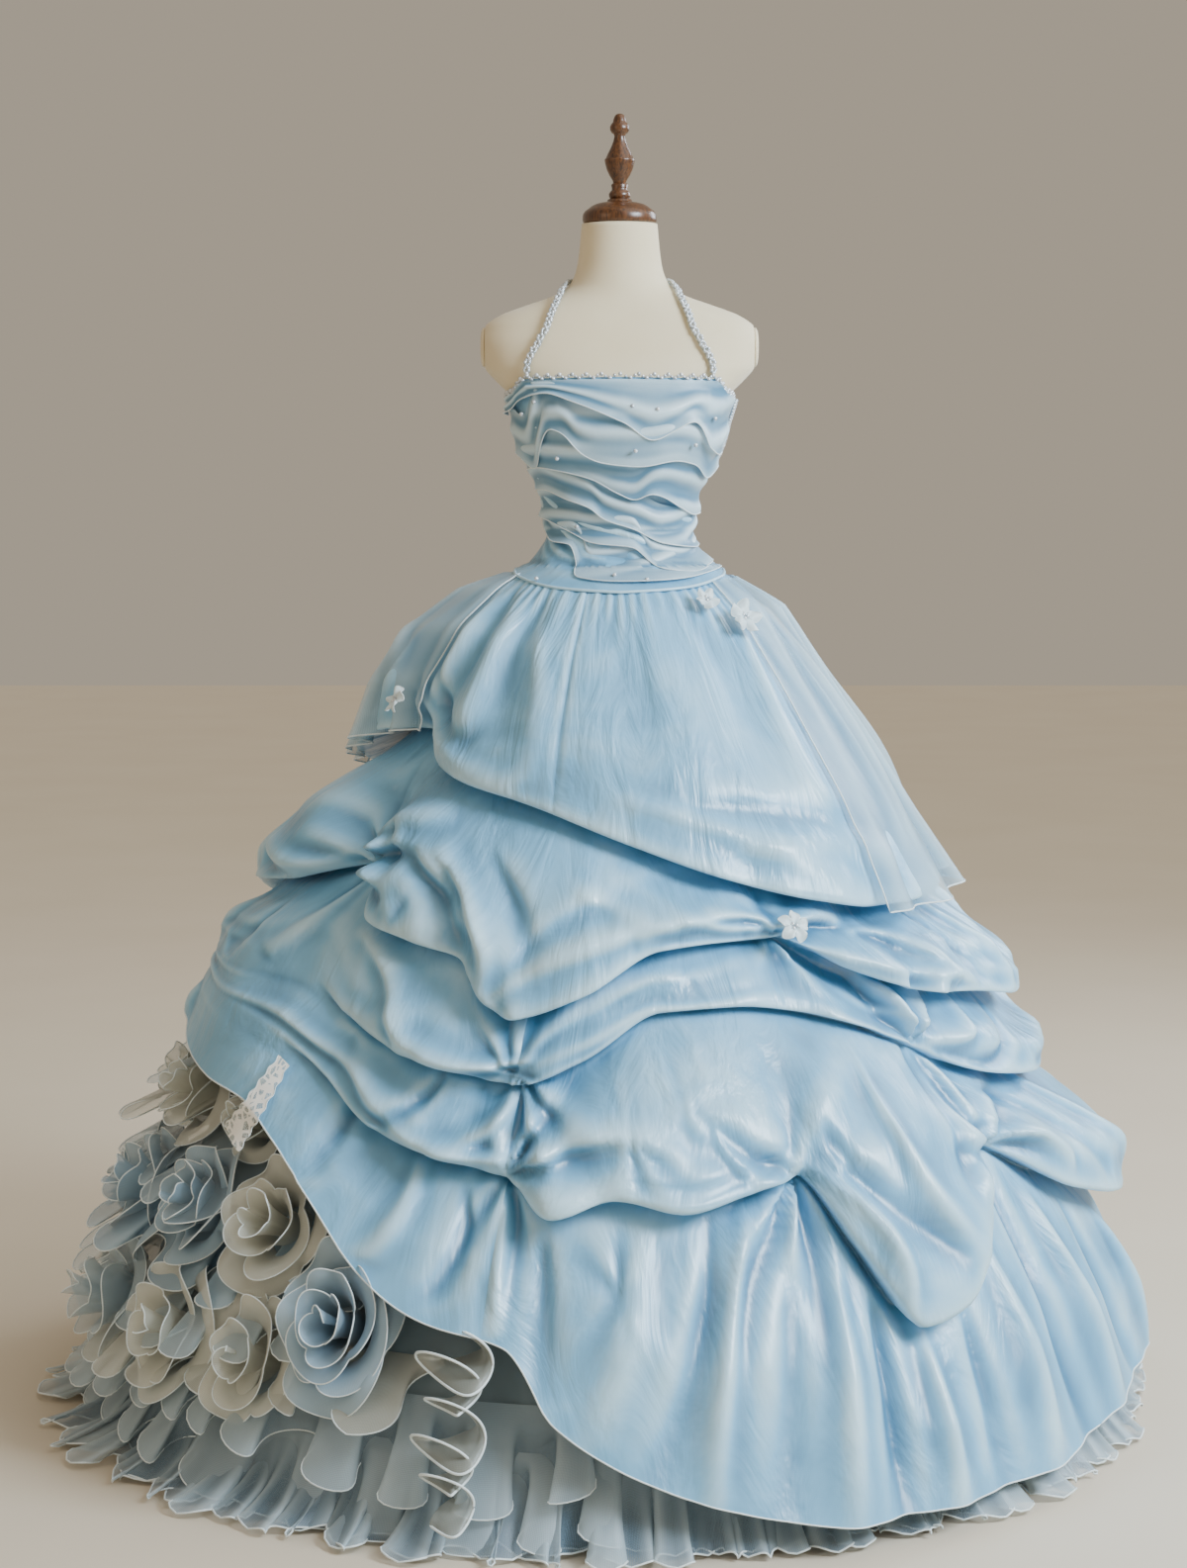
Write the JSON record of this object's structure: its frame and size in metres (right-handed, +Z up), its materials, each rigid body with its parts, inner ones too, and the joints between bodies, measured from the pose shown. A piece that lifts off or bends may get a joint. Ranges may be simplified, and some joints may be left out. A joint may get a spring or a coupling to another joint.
{
  "type": "ball gown on dress form",
  "caption": "Ice-blue halter ball gown with a pick-up skirt, gathered puffs, organza rosettes and a frilled hem, shown on a limbless dress form with a turned neck finial.",
  "frame": {"origin": "centre of the underside of the round stand base, on the axis of the pole", "axes": "+Z up through the dress form, the gown's front faces -Y, +X towards the wearer's left"},
  "size_m": [1.548, 1.5135, 1.783],
  "materials": {
    "form_canvas": "smooth cream jersey over a moulded shell",
    "walnut": "turned dark walnut, varnished",
    "stand_metal": "dark grey, satin",
    "satin_organza": "ice-blue satin organza with a soft sheen",
    "petticoat_lining": "blue-grey stiffened lining, matt",
    "bead_trim": "silver and white beading on a narrow band",
    "silk_flower": "pale blue silk",
    "sheer_organza": "sheer organza with a bright rolled edge"
  },
  "bodies": {
    "root": {"form_torso": "form_canvas", "arm_plate_left": "form_canvas", "arm_plate_right": "form_canvas", "neck_cap": "walnut", "finial": "walnut", "stand_base": "stand_metal", "stand_pole": "stand_metal", "bodice_front": "satin_organza", "bodice_back_left": "satin_organza", "bodice_back_right": "satin_organza", "overskirt_front": "satin_organza", "overskirt_left": "satin_organza", "overskirt_back_left": "satin_organza", "overskirt_back_right": "satin_organza", "overskirt_right": "satin_organza", "petticoat": "petticoat_lining", "halter_left": "bead_trim", "halter_right": "bead_trim", "neckline_trim": "bead_trim", "hip_flower": "silk_flower", "hip_flower_small": "silk_flower", "apron_flower": "silk_flower", "tack_flower": "silk_flower", "lace_insert": "silk_flower", "drape_bust": "sheer_organza", "drape_hip": "sheer_organza", "drape_low_waist": "sheer_organza", "drape_neckline": "sheer_organza", "drape_under_bust": "sheer_organza", "drape_waist": "sheer_organza", "hem_flounce": "sheer_organza", "hip_veil_left": "sheer_organza", "hip_veil_right": "sheer_organza", "jabot": "sheer_organza", "rosette_back_low": "sheer_organza", "rosette_blue_bud": "sheer_organza", "rosette_blue_rose": "sheer_organza", "rosette_cream_fan": "sheer_organza", "rosette_cream_rose": "sheer_organza", "rosette_low_cream": "sheer_organza", "rosette_rear_bud": "sheer_organza", "rosette_rear_low": "sheer_organza", "rosette_rear_upper": "sheer_organza", "rosette_side_bud": "sheer_organza", "rosette_side_fan": "sheer_organza", "rosette_upper_cream": "sheer_organza", "rosette_upper_side": "sheer_organza"}
  },
  "joints": []
}
